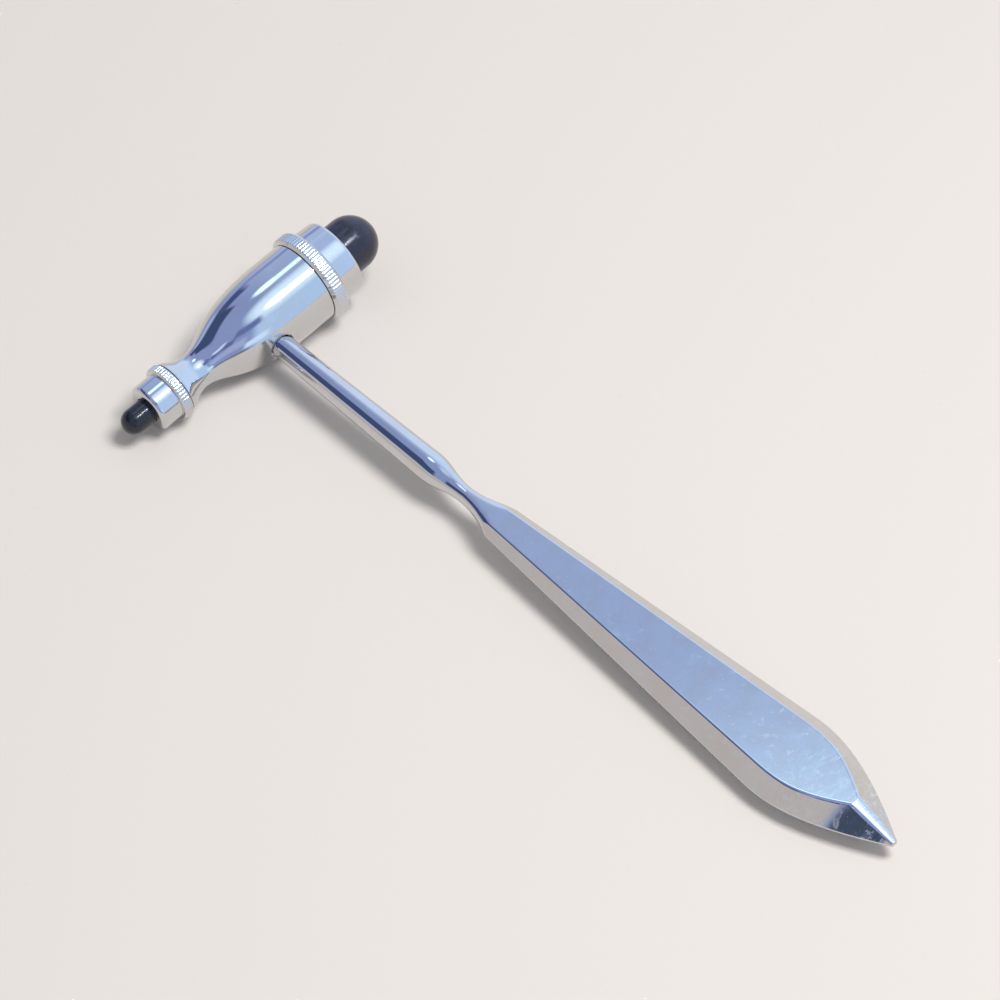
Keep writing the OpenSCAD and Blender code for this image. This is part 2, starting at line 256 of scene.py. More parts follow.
# ---------------------------------------------------------------- pieces: head
def body_radius(along):
    """Radius of the head's outside at a station along its axis, between its two shoulders."""
    flare_l, rise_l = SMALL["shoulder"] - NECK_AT, NECK_AT + BODY_FULL_AT
    flare = cubic([-SMALL["shoulder"], FLARE_R], [-SMALL["shoulder"] + 0.3 * flare_l, FLARE_R - 0.4],
                  [-NECK_AT - 0.5 * flare_l, NECK_R], [-NECK_AT, NECK_R], 600)
    rise = cubic([-NECK_AT, NECK_R], [-NECK_AT + 0.216 * rise_l, NECK_R],
                 [BODY_FULL_AT - 0.711 * rise_l, BODY_R], [BODY_FULL_AT, BODY_R], 2400)
    curve = np.vstack([flare, rise[1:]])
    return np.interp(along, curve[:, 0], curve[:, 1])


def head_body(material):
    """The turned head, with a screwed spigot at each end and the handle's socket in its side."""
    around, row_step = 288, 0.25
    angles = ring_angles(around)
    radii, stations = [], []

    def add(new_radii, new_stations):
        radii.extend(new_radii)
        stations.extend(new_stations)

    small_r, small_s = thread_rows(SMALL["thread_r"], SMALL["pitch"], SMALL["shoulder"],
                                   SMALL["spigot_end"], angles)
    add([1.0], [-SMALL["spigot_end"]])
    add(small_r[::-1], [-s for s in small_s[::-1]])
    root = SMALL["thread_r"] - THREAD_DEPTH * SMALL["pitch"]
    edge = rounded([(root, -SMALL["shoulder"], 0), (FLARE_R, -SMALL["shoulder"], FINE_EDGE),
                    (float(body_radius(1 - SMALL["shoulder"])), 1 - SMALL["shoulder"], 0)])
    add(edge[1:-1, 0], edge[1:-1, 1])
    skin_from = len(radii)
    skin = np.concatenate([np.arange(0.4 - SMALL["shoulder"], -0.05, row_step),
                           np.arange(0, LARGE["shoulder"] - 0.35, row_step)])
    add(body_radius(skin), skin)
    root = LARGE["thread_r"] - THREAD_DEPTH * LARGE["pitch"]
    edge = rounded([(BODY_R, LARGE["shoulder"] - 1, 0), (BODY_R, LARGE["shoulder"], FINE_EDGE),
                    (root, LARGE["shoulder"], 0)])
    add(edge[1:-1, 0], edge[1:-1, 1])
    add(*thread_rows(LARGE["thread_r"], LARGE["pitch"], LARGE["shoulder"], LARGE["spigot_end"], angles))
    add([1.0], [LARGE["spigot_end"]])
    points = spin(radii, stations, 1, angles)

    # the block of the skin that the socket's round rim replaces
    half_l, half_turn = 5.6, math.radians(30)
    rows = [i + skin_from for i, s in enumerate(skin) if abs(s) < half_l]
    columns = [j for j in range(around) if abs(angles[j]) < half_turn]
    top, bottom, left, right = rows[0], rows[-1], columns[0], columns[-1]
    faces = wall(len(radii), around,
                 skip=lambda i, j: top <= i < bottom and left <= j < right)
    border = ([(top, j) for j in range(left, right)] + [(i, right) for i in range(top, bottom)]
              + [(bottom, j) for j in range(right, left, -1)] + [(i, left) for i in range(bottom, top, -1)])
    first = [i * around + j for i, j in border]
    flat_x = np.array([stations[i] for i, j in border])
    flat_z = np.array([radii[i] * math.sin(angles[j]) for i, j in border])
    turn = np.arctan2(flat_z, flat_x)

    def surface(x, z):
        return np.sqrt(body_radius(x) ** 2 - z ** 2)

    # from the block's border to the rim, round the rim and down the socket's stepped hole
    rings = []
    steps = np.linspace(0, 1, 13)[1:]
    rim = SOCKET_R + FINE_EDGE
    for t in (steps + smooth(steps)) / 2:
        x, z = (1 - t) * flat_x + t * rim * np.cos(turn), (1 - t) * flat_z + t * rim * np.sin(turn)
        rings.append((x, surface(x, z), z))
    for a in np.radians([20, 45, 70, 90]):
        r = SOCKET_R + FINE_EDGE * (1 - math.sin(a))
        x, z = r * np.cos(turn), r * np.sin(turn)
        rings.append((x, surface(x, z) - FINE_EDGE * (1 - math.cos(a)), z))
    hole = TANG_R + THREAD_CLEARANCE
    bottom_at = SOCKET_FLOOR - TANG_L - 0.5
    for r, out in rounded([(SOCKET_R, SOCKET_FLOOR + 0.45, 0), (SOCKET_R, SOCKET_FLOOR, 0.2),
                           (hole, SOCKET_FLOOR, 0.2), (hole, bottom_at, 0), (0.3, bottom_at, 0)], 4):
        rings.append((r * np.cos(turn), np.full(len(turn), out), r * np.sin(turn)))
    start = len(points)
    points = np.vstack([points] + [place(*ring) for ring in rings])
    rings = [first] + [list(range(start + k * len(turn), start + (k + 1) * len(turn)))
                       for k in range(len(rings))]
    for a, b in zip(rings[:-1], rings[1:]):
        faces += [(a[j], a[(j + 1) % len(a)], b[(j + 1) % len(b)], b[j]) for j in range(len(a))]

    centres = place(np.array([-SMALL["spigot_end"], LARGE["spigot_end"], 0]),
                    np.array([0, 0, bottom_at]), np.zeros(3))
    last_row = [(len(radii) - 1) * around + j for j in range(around)]
    for k, ring in enumerate((list(range(around)), last_row, rings[-1])):
        faces += fan(ring, len(points) + k)
    points = np.vstack([points, centres])
    return add_piece("polished_head", points, faces, "head_body", "head", material)


# ---------------------------------------------------------------- pieces: collars and buffers
def tooth_tops(angles, ring_r, teeth):
    """Radius of a straight knurl at each angle: crowned teeth with narrow grooves between them."""
    half_top, flank_l = 0.34, 0.15  # shares of the teeth's spacing
    phase = np.abs((angles * teeth / (2 * math.pi) + 0.5) % 1 - 0.5)
    crown = KNURL_DEPTH + TOOTH_CROWN * (1 - (phase / half_top) ** 2)
    flank = (KNURL_DEPTH + 0.06) * (0.5 - phase) / flank_l + 0.03
    lower = -TOOTH_BLEND * np.log(np.exp(-crown / TOOTH_BLEND) + np.exp(-flank / TOOTH_BLEND))
    return ring_r - KNURL_DEPTH - TOOTH_CROWN + np.clip(lower, 0, KNURL_DEPTH + TOOTH_CROWN)


def collar(name, size, side, material, finer=()):
    """A screw collar: straight-knurled ring, smooth barrel, front hole and threaded bore. The points
    round it stand at shares of each tooth, with a few more where finer gives them."""
    shares = np.array([0, 0.05, 0.1, 0.14, 0.2, 0.32, 0.5, 0.68, 0.8, 0.86, 0.9, 0.95, *finer])
    tooth = np.arange(size["teeth"])[:, None]
    turn = ((tooth + np.sort((shares + 0.5) % 1) - 0.5) * 2 * math.pi / size["teeth"]).ravel()
    tops = tooth_tops(turn, size["ring_r"], size["teeth"])
    angles = turn + math.pi / 2
    seam, length, ring_l = size["seam"], size["front"] - size["seam"], size["ring_l"]
    radii, stations = [], []

    def add(new_radii, new_stations):
        radii.extend(new_radii)
        stations.extend(seam + np.asarray(s) for s in new_stations)

    # back face, chamfer, teeth, chamfer: the rows stand closer together at the edges
    end_r = size["ring_r"] - size["chamfer"]
    slope = tops - end_r
    up_slope = (0.02, 0.12, 0.35, 0.6, 0.82, 0.95)
    shy, inset = 0.008, 0.012
    add([end_r - 0.5, end_r - 0.1], [0.0, 0.0])
    for share in up_slope:
        add([end_r + share * slope], [share * slope])
    add([tops - shy], [slope + inset])
    for share in (0.03, 0.12, 0.35, 0.65, 0.88, 0.97):
        add([tops], [slope + 0.03 + share * (ring_l - 2 * slope - 0.06)])
    add([tops - shy], [ring_l - slope - inset])
    for share in reversed(up_slope):
        add([end_r + share * slope], [ring_l - share * slope])
    # front of the ring, barrel, front edge, hole, lip
    lip_at = length - size["lip"]
    outline = divided(rounded(
        [(end_r - 0.1, ring_l, 0), (size["barrel_r"], ring_l, 0.1),
         (size["barrel_r"] - size["taper"], length, size["edge_r"]), (size["hole_r"], length, 0.25),
         (size["hole_r"], lip_at, 0.1), (size["bore_r"], lip_at, 0.1), (size["bore_r"], lip_at - 0.6, 0)],
        12), 0.8)
    add(outline[:, 0], outline[:, 1])
    # threaded bore, back to the seam
    depth, run_out = 0.3 * size["pitch"], 0.3
    run = np.arange(length - size["lip"] - 0.7, run_out, -size["pitch"] / 8)
    for station in run:
        fade = min(1, (run[0] - station) / size["pitch"],
                   max(0, station - run_out) / (0.5 * size["pitch"]) + 0.3)
        add([size["bore_r"] + depth * fade * helix_groove(angles, station + seam, size["pitch"])], [station])
    add([size["bore_r"] + 0.1, size["bore_r"] + 0.35, size["bore_r"] + 0.5], [0.25, 0.0, 0.0])
    points = spin(radii, stations, side, angles)
    faces = wall(len(radii), len(angles), loop=True)
    return add_piece("knurled_" + name, points, faces, name, name, material)


def buffer(name, size, side, slot, material):
    """A moulded rubber buffer: trapped flange, round shank and domed end."""
    angles = ring_angles(160)
    r, flange_r, back = size["buffer_r"], size["flange_r"], size["flange_back"]
    flange_top, dome_from = back + size["flange_t"], size["tip"] - r
    shank = rounded([(0.4, back, 0), (flange_r, back, 0.35), (flange_r, flange_top, 0.35),
                     (r, flange_top, 0.05), (r, dome_from, 0)])
    dome = [(r * math.cos(a), size["tip"] - r * (1 - math.sin(a)))
            for a in np.linspace(0, math.pi / 2, 49)[1:-1]]
    outline = divided(np.vstack([shank, dome]), 0.7)
    points = spin(outline[:, 0], outline[:, 1], side, angles)
    ends = place(side * np.array([back, size["tip"]]), np.zeros(2), np.zeros(2))
    faces = wall(len(outline), len(angles))
    faces += fan(list(range(len(angles))), len(points))
    faces += fan([(len(outline) - 1) * len(angles) + j for j in range(len(angles))], len(points) + 1)
    return add_piece("rubber_" + name, np.vstack([points, ends]), faces, name, name, material)


# ---------------------------------------------------------------- pieces: handle
GRIP_W_START = 5.35      # half width of the grip where its flare ends
GRIP_W_MAX = 12.85       # half of its largest width
GRIP_T_START = 2.32      # half thickness at the waist
GRIP_T_END = 5.65        # half thickness where the flat faces end
BEVEL_RUN = 0.93         # width of a bevel for each unit of its depth
EDGE_T = 0.25            # half thickness of the blunt edge
EDGE_ROUND = 0.22        # rounding of the blunt edge's corners
FACE_ROUND = 0.8         # rounding of the flat face's edges along the grip
FACE_ROUND_TIP = 0.5     # how much larger it is where the flat face ends
RIDGE_CROWN = 0.09       # crown of the ridge's facet as a share of its half width
RIDGE_W = 1.5            # half width of the narrow facet where it leaves the flat face
TIP_W = 0.85
TIP_T = 0.65
TIP_ROUND = 0.5
STEM_END_ROUND = 0.5
POINT_L = 39.3           # from the widest place to the tip
RIDGE_L = 13.3           # from the end of the flat face to the tip
GRIP_START = WAIST_AT + 11.5
FLARE_END = GRIP_START + 3
WIDEST_AT = TIP_AT - POINT_L
FACE_END = TIP_AT - RIDGE_L
CORNER_STEPS = 6         # arc steps at each corner of the grip's section
SIDE_STEPS = [14, 10, 2, 10, 28, 10, 2, 10, 14]  # steps along each flat side of the section


def grip_sizes(out):
    """Half width, half width of the flat face and half thickness of the grip at a distance out."""
    slope = (GRIP_W_MAX - GRIP_W_START) / (WIDEST_AT - GRIP_START)
    thickening = (GRIP_T_END - GRIP_T_START) / (FACE_END - WAIST_AT)
    thin = GRIP_T_START + thickening * (out - WAIST_AT)
    wide = GRIP_W_START + slope * (out - GRIP_START)
    face = wide - BEVEL_RUN * (thin - EDGE_T)
    face_widest = GRIP_W_MAX - BEVEL_RUN * (GRIP_T_START + thickening * (WIDEST_AT - WAIST_AT) - EDGE_T)
    face_l = FACE_END - WIDEST_AT
    edge = cubic([WIDEST_AT, GRIP_W_MAX], [WIDEST_AT + 0.28 * POINT_L, GRIP_W_MAX + 0.28 * POINT_L * slope],
                 [WIDEST_AT + 0.585 * POINT_L, 0.75 * GRIP_W_MAX], [TIP_AT, TIP_W], 800)
    inner = cubic([WIDEST_AT, face_widest], [WIDEST_AT + 0.385 * face_l, face_widest + 0.02 * face_l],
                  [WIDEST_AT + 0.577 * face_l, 0.95 * face_widest], [FACE_END, RIDGE_W], 800)
    past = out > WIDEST_AT
    wide = np.where(past, np.interp(out, edge[:, 0], edge[:, 1]), wide)
    face = np.where(past, np.interp(out, inner[:, 0], inner[:, 1]), face)
    drop = np.clip((out - FACE_END) / RIDGE_L, 0, 1)
    face = np.where(drop > 0, RIDGE_W + (0.8 * TIP_W - RIDGE_W) * drop, face)
    thin = np.where(drop > 0, GRIP_T_END + (TIP_T - GRIP_T_END) * drop, thin)
    return float(wide), float(face), float(thin)


def grip_section(out):
    """The grip's eight-sided section, its corners softened, from the middle of its upper face round
    over its large-end side. Every section has the same number of points."""
    wide, face, thin = grip_sizes(out)
    edge = min(EDGE_T, 0.8 * thin)
    soft = FACE_ROUND + FACE_ROUND_TIP * float(smooth((out - WIDEST_AT) / (FACE_END - WIDEST_AT)))
    half = [(face, thin, soft), (wide, edge, EDGE_ROUND), (wide, -edge, EDGE_ROUND), (face, -thin, soft)]
    other_half = [(-x, y, radius) for x, y, radius in reversed(half)]
    path = rounded([(0, thin, 0)] + half + other_half + [(0, thin, 0)], CORNER_STEPS)
    points, at = [path[0]], 1
    for count in SIDE_STEPS:
        a, b = points[-1], path[at]
        points += [a + (b - a) * i / count for i in range(1, count + 1)]
        points += list(path[at + 1:at + 3 + CORNER_STEPS])
        at += 3 + CORNER_STEPS
    points = np.array(points[:-1])
    # the ridge's narrow facet is slightly crowned
    crown = RIDGE_CROWN * face * min(1, max(0, out - FACE_END))
    level = np.clip((np.abs(points[:, 1]) - edge) / (thin - edge), 0, 1)
    points[:, 1] -= np.sign(points[:, 1]) * crown * level * np.minimum(1, (points[:, 0] / face) ** 2)
    return points


def stem_radius(out):
    """Radius of the round stem from its rounded end in the socket to the waist."""
    fall = WAIST_AT - STEM_THICK_AT
    curve = cubic([STEM_THICK_AT, STEM_R_GRIP], [STEM_THICK_AT + 0.4 * fall, STEM_R_GRIP + 0.1],
                  [STEM_THICK_AT + 0.54 * fall, WAIST_R], [WAIST_AT, WAIST_R], 600)
    taper = STEM_R_HEAD + (STEM_R_GRIP - STEM_R_HEAD) * (out - SOCKET_FLOOR) / (STEM_THICK_AT - SOCKET_FLOOR)
    into = np.clip(1 - (out - SOCKET_FLOOR) / STEM_END_ROUND, 0, 1)
    taper = taper - STEM_END_ROUND * (1 - np.sqrt(1 - into ** 2))
    return np.where(out > STEM_THICK_AT, np.interp(out, curve[:, 0], curve[:, 1]), taper)


def flare_section(out):
    """From the waist on, the grip's section held inside a swelling that is round at the waist."""
    widening, thickening = 0.0205, 0.0034
    section = grip_section(out)
    d = out - WAIST_AT
    half_w, half_t = WAIST_R + widening * d * d, WAIST_R + thickening * d * d
    power = 2 + min(1, d / 7)  # an ellipse at the waist, squarer further out
    over = (np.abs(section[:, 0] / half_w) ** power + np.abs(section[:, 1] / half_t) ** power) ** (1 / power)
    tight = 26 + 30 * d / (FLARE_END - WAIST_AT)  # how sharply the swelling cuts the section
    return section / (1 + over ** tight)[:, None] ** (1 / tight)


def handle(material):
    """Screwed end, round tapering stem, waist and flat bevelled grip, forged in one piece."""
    waist = flare_section(WAIST_AT)
    count = len(waist)
    uniform = math.pi / 2 - 2 * math.pi * np.arange(count) / count
    aligned = np.unwrap(np.arctan2(waist[:, 1], waist[:, 0]))
    rows = []

    def add(across, out, up):
        rows.append(place(across, np.full(count, out), up))

    # screwed end, shoulder and stem, whose points turn into line with the grip's by the waist
    start = SOCKET_FLOOR - TANG_L
    radii, stations = thread_rows(TANG_R, TANG_PITCH, start, SOCKET_FLOOR - 0.8, uniform, 0.12)
    radii, stations = [np.array([0.3])] + radii, [start] + stations
    radii += [np.array([TANG_R - THREAD_DEPTH * TANG_PITCH]), np.array([STEM_R_HEAD - 0.6])]
    stations += [SOCKET_FLOOR - 0.02, SOCKET_FLOOR]
    rise = SOCKET_FLOOR + STEM_END_ROUND * (1 - np.cos(np.radians([0, 15, 30, 45, 60, 75, 90])))
    straight = np.arange(SOCKET_FLOOR + 0.8, STEM_THICK_AT - 1.2, 1.5)
    bend = np.arange(STEM_THICK_AT - 1.0, WAIST_AT - 0.1, 0.25)
    for out in np.concatenate([rise, straight, bend]):
        radii.append(stem_radius(np.array([out])))
        stations.append(out)
    for r, out in zip(radii, stations):
        share = float(smooth((WAIST_AT - out) / (WAIST_AT - STEM_THICK_AT)))
        angles = share * uniform + (1 - share) * aligned
        add(r * np.cos(angles), out, r * np.sin(angles))
    # grip, its rows closer together where it bends
    blade = np.arange(FLARE_END, WIDEST_AT - 4, 2.0)
    point = np.arange(WIDEST_AT - 3.5, FACE_END - 0.3, 0.5)
    corner = FACE_END + np.array([-0.3, -0.1, 0.1, 0.3])
    ridge = np.arange(FACE_END + 0.6, TIP_AT - 0.55, 0.4)
    for out in np.arange(WAIST_AT, FLARE_END, 0.25):
        section = flare_section(out)
        add(section[:, 0], out, section[:, 1])
    for out in np.concatenate([blade, point, corner, ridge]):
        section = grip_section(out)
        add(section[:, 0], out, section[:, 1])
    # rounded tip
    last = grip_section(TIP_AT - TIP_ROUND)
    for degrees, closing in ((0, 1), (20, 1), (40, 1), (58, 1), (74, 1), (85, 0.6)):
        a = math.radians(degrees)
        shrink = (1 - 0.55 * (1 - math.cos(a))) * closing
        add(last[:, 0] * shrink, TIP_AT - TIP_ROUND + TIP_ROUND * math.sin(a), last[:, 1] * shrink)
    points = np.vstack(rows)
    ends = place(np.zeros(2), np.array([start, TIP_AT]), np.zeros(2))
    faces = wall(len(rows), count)
    faces += fan(list(range(count)), len(points))
    faces += fan([(len(rows) - 1) * count + j for j in range(count)], len(points) + 1)
    points = np.vstack([points, ends])
    return add_piece("forged_handle", points, faces, "handle", "head", material)


# ---------------------------------------------------------------- materials
class Nodes:
    """A node tree with a few short calls to build it."""

    def __init__(self, tree):
        self.nodes, self.links = tree.nodes, tree.links

    def add(self, kind, **settings):
        node = self.nodes.new(kind)
        for key, value in settings.items():
            setattr(node, key, value)
        return node

    def join(self, output, socket):
        self.links.new(output, socket)

    def span(self, value, from_low, from_high, to_low, to_high):
        """The value carried smoothly from one range to another, and held at its ends."""
        node = self.add("ShaderNodeMapRange", interpolation_type="SMOOTHSTEP")
        for key, number in (("From Min", from_low), ("From Max", from_high),
                            ("To Min", to_low), ("To Max", to_high)):
            node.inputs[key].default_value = number
        self.join(value, node.inputs["Value"])
        return node.outputs["Result"]

    def math(self, operation, *values):
        node = self.add("ShaderNodeMath", operation=operation)
        for socket, value in zip(node.inputs, values):
            if isinstance(value, (int, float)):
                socket.default_value = value
            else:
                self.join(value, socket)
        return node.outputs[0]

    def mix_colour(self, share, a, b):
        node = self.add("ShaderNodeMix", data_type="RGBA")
        self.join(share, node.inputs["Factor"])
        for socket, value in zip((node.inputs[6], node.inputs[7]), (a, b)):
            if isinstance(value, tuple):
                socket.default_value = (*value, 1)
            else:
                self.join(value, socket)
        return node.outputs[2]


class Shader(Nodes):
    """A material's nodes, with coordinates in millimetres."""

    def __init__(self, name):
        self.material = bpy.data.materials.new(name)
        self.material.use_nodes = True
        super().__init__(self.material.node_tree)
        self.surface = next(n for n in self.nodes if n.type == "BSDF_PRINCIPLED")
        self.scaled = self.add("ShaderNodeVectorMath", operation="SCALE")
        self.scaled.inputs["Scale"].default_value = 1 / MM
        self.join(self.add("ShaderNodeTexCoord").outputs["Object"], self.scaled.inputs[0])

    def place(self, axis):
        """One coordinate of a point of the surface, in millimetres."""
        node = self.add("ShaderNodeSeparateXYZ")
        self.join(self.scaled.outputs[0], node.inputs[0])
        return node.outputs[axis]

    def noise(self, size, detail=3.0, roughness=0.5, stretch=(1, 1, 1), distortion=0.0):
        """Noise whose features are about size millimetres across, longer where stretched."""
        mapping = self.add("ShaderNodeMapping")
        mapping.inputs["Scale"].default_value = [1 / (size * s) for s in stretch]
        self.join(self.scaled.outputs[0], mapping.inputs["Vector"])
        node = self.add("ShaderNodeTexNoise")
        node.inputs["Scale"].default_value = 1.0
        node.inputs["Detail"].default_value = detail
        node.inputs["Roughness"].default_value = roughness
        node.inputs["Distortion"].default_value = distortion
        self.join(mapping.outputs[0], node.inputs["Vector"])
        return node.outputs["Fac"]

    def bump(self, height, depth_mm, below=None):
        """Normals for a height, on top of the normals below it."""
        node = self.add("ShaderNodeBump")
        node.inputs["Strength"].default_value = 1.0
        node.inputs["Distance"].default_value = depth_mm * MM
        self.join(height, node.inputs["Height"])
        if below is not None:
            self.join(below, node.inputs["Normal"])
        return node.outputs["Normal"]

    def set(self, **sockets):
        """Set sockets of the surface shader, each to a constant or to another node's output."""
        for name, value in sockets.items():
            socket = self.surface.inputs[name.replace("_", " ")]
            if isinstance(value, (int, float, tuple)):
                socket.default_value = value
            else:
                self.join(value, socket)


def chrome(name, tint, haze, smudge_size, wave_depth, handled=False):
    """Polished chrome plate: faint waves from hand polishing, hairlines, smudges and small specks. Where
    it is handled, the marks grow towards the grip's tip and end there in milky swirls."""
    shader = Shader(name)
    smudge = shader.span(shader.noise(smudge_size, 6, 0.6, distortion=0.6), 0.52, 0.78, 0, haze)
    speck = shader.span(shader.noise(0.5, 2, 0.4), 0.70, 0.77, 0, 1.2 * haze)
    marks = shader.math("MAXIMUM", smudge, speck)
    if handled:
        marks = shader.math("MULTIPLY", marks, shader.span(shader.place("Y"), -112, -30, 1.3, 0.5))
        swirl = shader.noise(5, 9, 0.72, stretch=(1, 0.6, 1), distortion=1.6)
        swirl = shader.span(swirl, 0.46, 0.68, 0, 0.75)
        swirl = shader.math("MULTIPLY", swirl, shader.span(shader.place("Y"), -114, -74, 1, 0))
        marks = shader.math("MAXIMUM", marks, swirl)
    hairline = shader.noise(0.12, 4, 0.7, stretch=(1, 24, 1))
    film = shader.span(shader.noise(2 * smudge_size, 4), 0.38, 0.68, 0, 1)
    warm = tuple(share * c for share, c in zip((1.0, 0.955, 0.93), tint))
    pale = tuple(share * c for share, c in zip((1.22, 1.25, 1.27), tint))
    shader.set(
        Base_Color=shader.mix_colour(marks, shader.mix_colour(film, tint, warm), pale),
        Metallic=1.0,
        Roughness=shader.math("ADD", shader.span(marks, 0, 1, 0.05, 0.42),
                              shader.span(hairline, 0.35, 0.75, 0, 0.02)),
        Normal=shader.bump(hairline, 0.0004, shader.bump(shader.noise(9, 1), wave_depth)))
    return shader.material


def rubber(name, colour, gloss, grain):
    """Moulded black rubber: a fine skin, faint bloom and a little lint."""
    shader = Shader(name)
    bloom = shader.span(shader.noise(2.4, 5, 0.6), 0.42, 0.72, 0, 1)
    lint = shader.span(shader.noise(0.35, 2, 0.5, stretch=(1, 3, 1)), 0.7, 0.76, 0, 1)
    skin = shader.noise(grain, 3, 0.6)
    dusty = tuple(2.2 * c + 0.01 for c in colour)
    dust = shader.math("MAXIMUM", shader.math("MULTIPLY", bloom, 0.35), lint)
    shader.set(
        Base_Color=shader.mix_colour(dust, colour, dusty),
        Roughness=shader.math("ADD", shader.span(bloom, 0, 1, gloss, gloss + 0.12),
                              shader.span(skin, 0.3, 0.7, 0, 0.06)),
        Specular_IOR_Level=0.5,
        Normal=shader.bump(skin, 0.004, shader.bump(shader.noise(3.5, 2), 0.02)))
    return shader.material


# ---------------------------------------------------------------- build
head_body(chrome("chrome_head", (0.63, 0.635, 0.64), 0.25, 4.0, 0.003))
handle(chrome("chrome_handle", (0.625, 0.63, 0.64), 0.5, 3.0, 0.006, handled=True))
collars = chrome("chrome_collars", (0.65, 0.655, 0.66), 0.2, 3.0, 0.002)
collar("large_collar", LARGE, 1, collars)
collar("small_collar", SMALL, -1, collars, finer=(0.59, 0.91))
buffer("large_buffer", LARGE, 1, "rubber_large", rubber("rubber_large", (0.018, 0.018, 0.036), 0.16, 0.2))
buffer("small_buffer", SMALL, -1, "rubber_small", rubber("rubber_small", (0.011, 0.012, 0.019), 0.12, 0.2))

# ---------------------------------------------------------------- floor, light and camera
FLOOR_HALF = 6.0
FLOOR_DROP = 0.0002      # the floor lies just under the hammer

floor_mesh = bpy.data.meshes.new("floor")
floor_mesh.from_pydata([(-FLOOR_HALF, -FLOOR_HALF, 0), (FLOOR_HALF, -FLOOR_HALF, 0),
                        (FLOOR_HALF, FLOOR_HALF, 0), (-FLOOR_HALF, FLOOR_HALF, 0)], [], [(0, 1, 2, 3)])
floor = bpy.data.objects.new("floor", floor_mesh)
bpy.context.scene.collection.objects.link(floor)
floor.location.z = -FLOOR_DROP
paper = Shader("pale_floor")
paper.set(Base_Color=(0.80, 0.77, 0.75, 1), Roughness=0.8, Specular_IOR_Level=0.1)
floor_mesh.materials.append(paper.material)

middle = sum((Vector(corner) for corner in cad_box), Vector()) / 2


def direction(azimuth, elevation):
    """Unit vector at an azimuth from +Y towards +X and an elevation, in degrees."""
    a, e = math.radians(azimuth), math.radians(elevation)
    return Vector((math.sin(a) * math.cos(e), math.cos(a) * math.cos(e), math.sin(e)))


def softbox(name, azimuth, elevation, distance, width, height, power, colour):
    """A soft rectangular light that faces the hammer."""
    data = bpy.data.lights.new(name, "AREA")
    data.shape, data.size, data.size_y = "RECTANGLE", width, height
    data.energy, data.color = power, colour
    lamp = bpy.data.objects.new(name, data)
    bpy.context.scene.collection.objects.link(lamp)
    towards = direction(azimuth, elevation)
    lamp.location = middle + towards * distance
    lamp.rotation_euler = (-towards).to_track_quat("-Z", "Y").to_matrix().to_euler()
    return lamp


key = softbox("key", 148, 68, 1.5, 0.5, 0.6, 17, (1.0, 0.97, 0.93))
key.visible_glossy = False  # the dome's own bright glow stands in for it

PLATE = 0.63  # share of light that the chrome gives back


def seen(red, green, blue):
    """Linear light that the chrome shows as a display colour."""
    return tuple((level / 255) ** 2.2 / PLATE for level in (red, green, blue))


class Studio(Nodes):
    """The room as the chrome reflects it: a soft dome of light with cards of other tones in it."""

    def __init__(self):
        self.world = bpy.data.worlds.new("studio")
        self.world.use_nodes = True
        super().__init__(self.world.node_tree)
        self.towards = self.add("ShaderNodeTexCoord").outputs["Generated"]

    def along(self, axis):
        """How far the direction looked in points along an axis, from -1 to 1."""
        node = self.add("ShaderNodeVectorMath", operation="DOT_PRODUCT")
        self.join(self.towards, node.inputs[0])
        node.inputs[1].default_value = axis
        return node.outputs["Value"]

    def glow(self, below, azimuth, elevation, inner, outer, colour):
        """A round soft patch between two radii in degrees."""
        share = self.span(self.along(direction(azimuth, elevation)), math.cos(math.radians(outer)),
                          math.cos(math.radians(inner)), 0, 1)
        return self.mix_colour(share, below, colour)

    def card(self, below, azimuth, elevation, width, height, soft, colour):
        """A patch that covers a width of azimuth and a height of elevation, in degrees."""
        ahead, side = direction(azimuth, 0), direction(azimuth + 90, 0)
        across = self.math("ARCTAN2", self.along(side), self.along(ahead))
        above = self.math("SUBTRACT", self.math("ARCSINE", self.along((0, 0, 1))), math.radians(elevation))
        share = 1.0
        for offset, size in ((across, width), (above, height)):
            edge = self.span(self.math("ABSOLUTE", offset), math.radians(size / 2 - soft),
                             math.radians(size / 2 + soft), 1, 0)
            share = self.math("MULTIPLY", edge, share)
        return self.mix_colour(share, below, colour)

    def finish(self, reflected, plain, strength):
        """Glossy rays see the dome; everything else is lit by one plain tone."""
        path = self.add("ShaderNodeLightPath")
        background = self.nodes["Background"]
        plain = tuple(strength * c for c in plain)
        self.join(self.mix_colour(path.outputs["Is Glossy Ray"], plain, reflected),
                  background.inputs["Color"])
        background.inputs["Strength"].default_value = 1.0
        bpy.context.scene.world = self.world


studio = Studio()
# a room that is paler towards +X, with pale and dark panels round it
dome = studio.mix_colour(studio.span(studio.along((1, 0, 0)), 0.0, 0.8, 0, 1),
                         seen(127, 142, 184), seen(186, 210, 241))
dome = studio.card(dome, 165, 22, 50, 70, 6, seen(167, 193, 228))
dome = studio.card(dome, 50, 30, 34, 36, 5, seen(192, 208, 237))
dome = studio.card(dome, 18, 18, 20, 10, 3, seen(122, 137, 184))
dome = studio.card(dome, -45, 36.5, 80, 31, 2.5, seen(62, 74, 108))
dome = studio.card(dome, 2, 27, 18, 18, 2.5, seen(68, 79, 120))
dome = studio.card(dome, -12, 13, 18, 8, 2.5, seen(158, 171, 203))
dome = studio.card(dome, -106, 27, 20, 14, 1.5, seen(64, 74, 92))
dome = studio.card(dome, -66, 8, 90, 21, 1.5, seen(174, 169, 167))
dome = studio.card(dome, -60, 18.5, 72, 2.5, 1, seen(170, 182, 205))
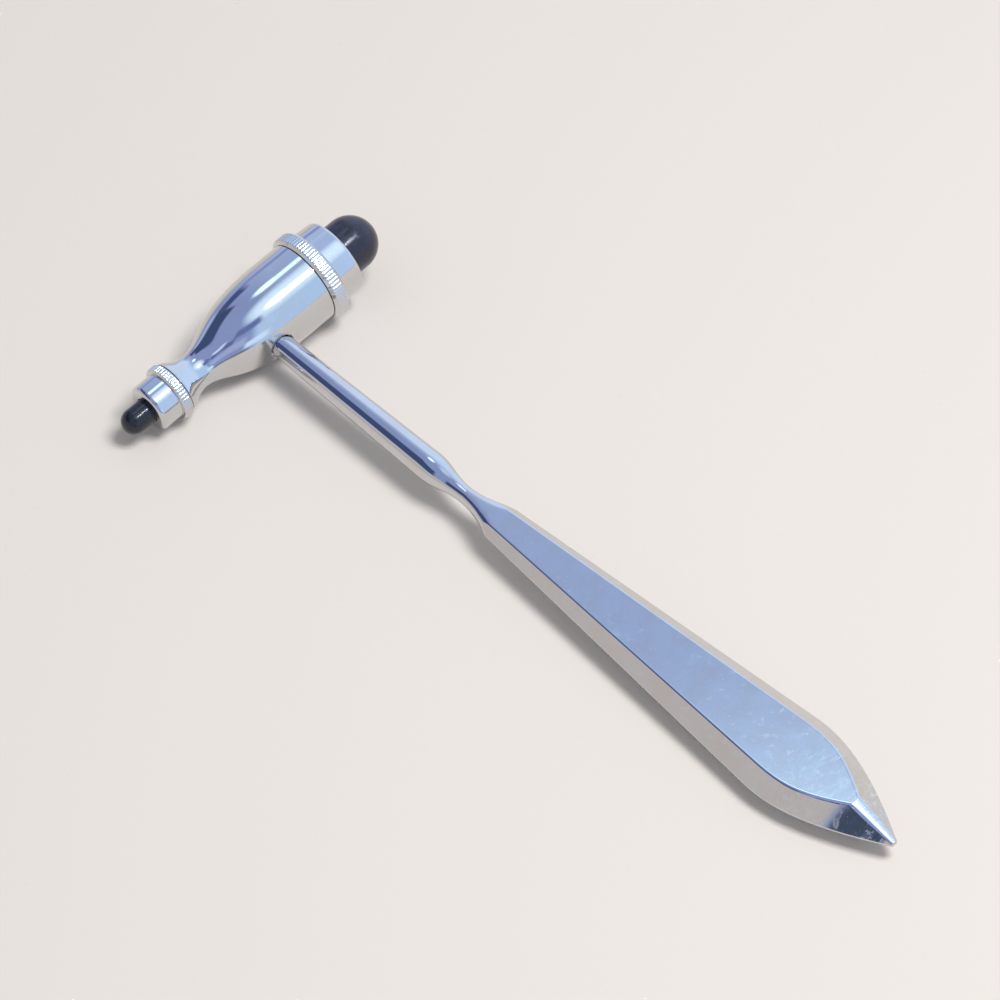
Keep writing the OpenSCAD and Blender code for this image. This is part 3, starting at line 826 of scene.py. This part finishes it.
dome = studio.card(dome, -150, 27, 24, 18, 4, seen(150, 163, 204))
dome = studio.card(dome, -172, 14, 20, 13, 3, seen(195, 218, 243))
dome = studio.card(dome, -150, 1, 30, 9, 3, seen(108, 116, 140))
# the pale ceiling with its dark gaps, and the glow of its lamps
dome = studio.glow(dome, 150, 68, 8, 27, seen(208, 234, 254))
dome = studio.card(dome, -158, 53, 40, 14, 4, seen(96, 108, 158))
dome = studio.card(dome, -136, 41, 14, 10, 3, seen(92, 101, 146))
dome = studio.card(dome, -123, 45, 8, 8, 2, seen(190, 204, 244))
dome = studio.glow(dome, 28, 67, 1.5, 8.5, seen(246, 286, 306))
dome = studio.glow(dome, 154, 65, 3, 10, (2.4, 2.5, 2.6))
dome = studio.glow(dome, 147, 62, 1.5, 2.6, (80, 84, 95))
studio.finish(dome, (0.97, 0.98, 1.0), 0.40)

# ---------------------------------------------------------------- camera, at the photograph's angle
CAMERA_AZIMUTH, CAMERA_ELEVATION, CAMERA_ROLL = -39.77, 51.15, -4.64
CAMERA_DISTANCE = 1.595
CAMERA_LENS = 228.4
CAMERA_AIM = (0.0005, 0.0141, 0.0090)  # from the middle of the hammer's box to the middle of the view


def make_camera():
    """Camera that looks at the hammer as the photograph does."""
    data = bpy.data.cameras.new("camera")
    data.sensor_width, data.lens = 36.0, CAMERA_LENS
    camera = bpy.data.objects.new("camera", data)
    bpy.context.scene.collection.objects.link(camera)
    azimuth, elevation = math.radians(CAMERA_AZIMUTH), math.radians(CAMERA_ELEVATION)
    back = Vector((math.sin(azimuth) * math.cos(elevation), -math.cos(azimuth) * math.cos(elevation),
                   math.sin(elevation)))
    camera.location = middle + Vector(CAMERA_AIM) + back * CAMERA_DISTANCE
    level = (-back).to_track_quat("-Z", "Y").to_matrix()
    camera.rotation_euler = (level @ Matrix.Rotation(math.radians(CAMERA_ROLL), 3, "Z")).to_euler()
    data.clip_start, data.clip_end = 0.05, 50
    bpy.context.scene.camera = camera


make_camera()
bpy.context.scene.view_settings.view_transform = "Standard"
